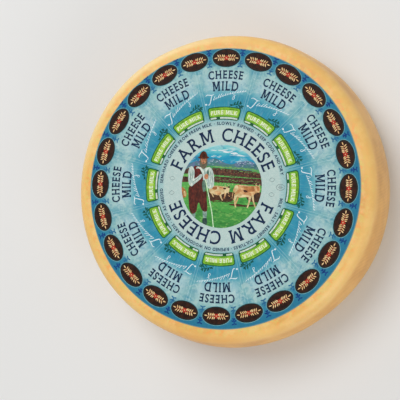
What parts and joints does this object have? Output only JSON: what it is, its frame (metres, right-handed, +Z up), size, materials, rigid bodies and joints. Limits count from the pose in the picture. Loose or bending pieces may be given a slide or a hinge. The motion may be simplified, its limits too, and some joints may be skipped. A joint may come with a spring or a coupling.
{
  "type": "cheese wheel",
  "caption": "Whole round wheel of semi-hard cheese lying flat, with a tan ribbed rind and a large printed paper label on its upper face.",
  "frame": {"origin": "middle of the underside, on the surface the wheel rests on", "axes": "+Z up along the wheel's axis towards the labelled face, +Y towards the top of the label's lettering"},
  "size_m": [0.3, 0.3, 0.0806],
  "materials": {
    "rind": "satin natural cheese rind",
    "label_paper": "printed uncoated paper, stuck down flat"
  },
  "bodies": {
    "root": {"cheese_wheel": "rind", "paper_label": "label_paper"}
  },
  "joints": []
}
